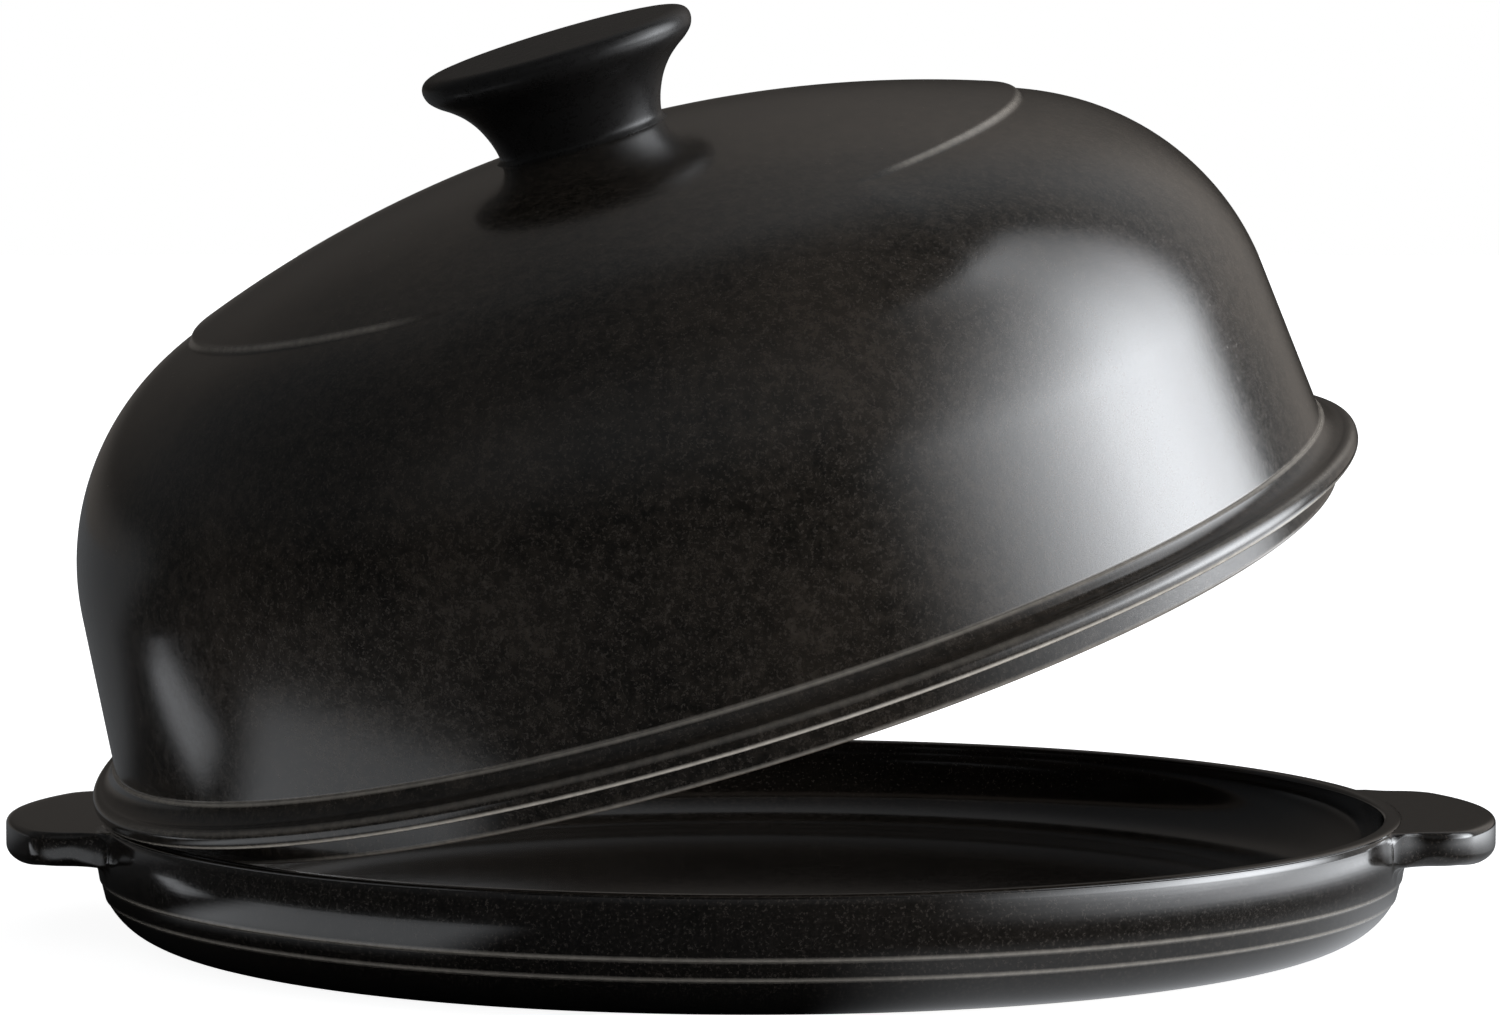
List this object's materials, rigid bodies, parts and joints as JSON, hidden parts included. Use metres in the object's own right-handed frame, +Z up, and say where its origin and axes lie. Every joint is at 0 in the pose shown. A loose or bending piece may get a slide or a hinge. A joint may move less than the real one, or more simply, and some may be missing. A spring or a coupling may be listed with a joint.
{
  "type": "bread cloche",
  "caption": "Glazed stoneware bread cloche: a domed lid with a flared knob leans open on a shallow round base with a handle on each side.",
  "frame": {"origin": "centre of the base's foot ring, on the surface it stands on", "axes": "+Z up, +X along the line through both handles towards the right one as seen from the front, -Y towards the front"},
  "size_m": [0.335, 0.2952, 0.207],
  "materials": {
    "dome_glaze": "charcoal satin glaze with fine speckle",
    "knob_glaze": "charcoal gloss glaze",
    "base_glaze": "near-black gloss glaze, foot ring unglazed"
  },
  "bodies": {
    "base": {"base": "base_glaze"},
    "lid": {"dome": "dome_glaze", "knob": "knob_glaze"}
  },
  "joints": [
    {"name": "lid_tilt", "type": "hinge", "parent": "base", "child": "lid", "pos_m": [-0.13565, -0.05207, 0.0283], "axis": [0.3584, -0.9336, 0], "range_deg": [-17.6, 42.4]}
  ]
}
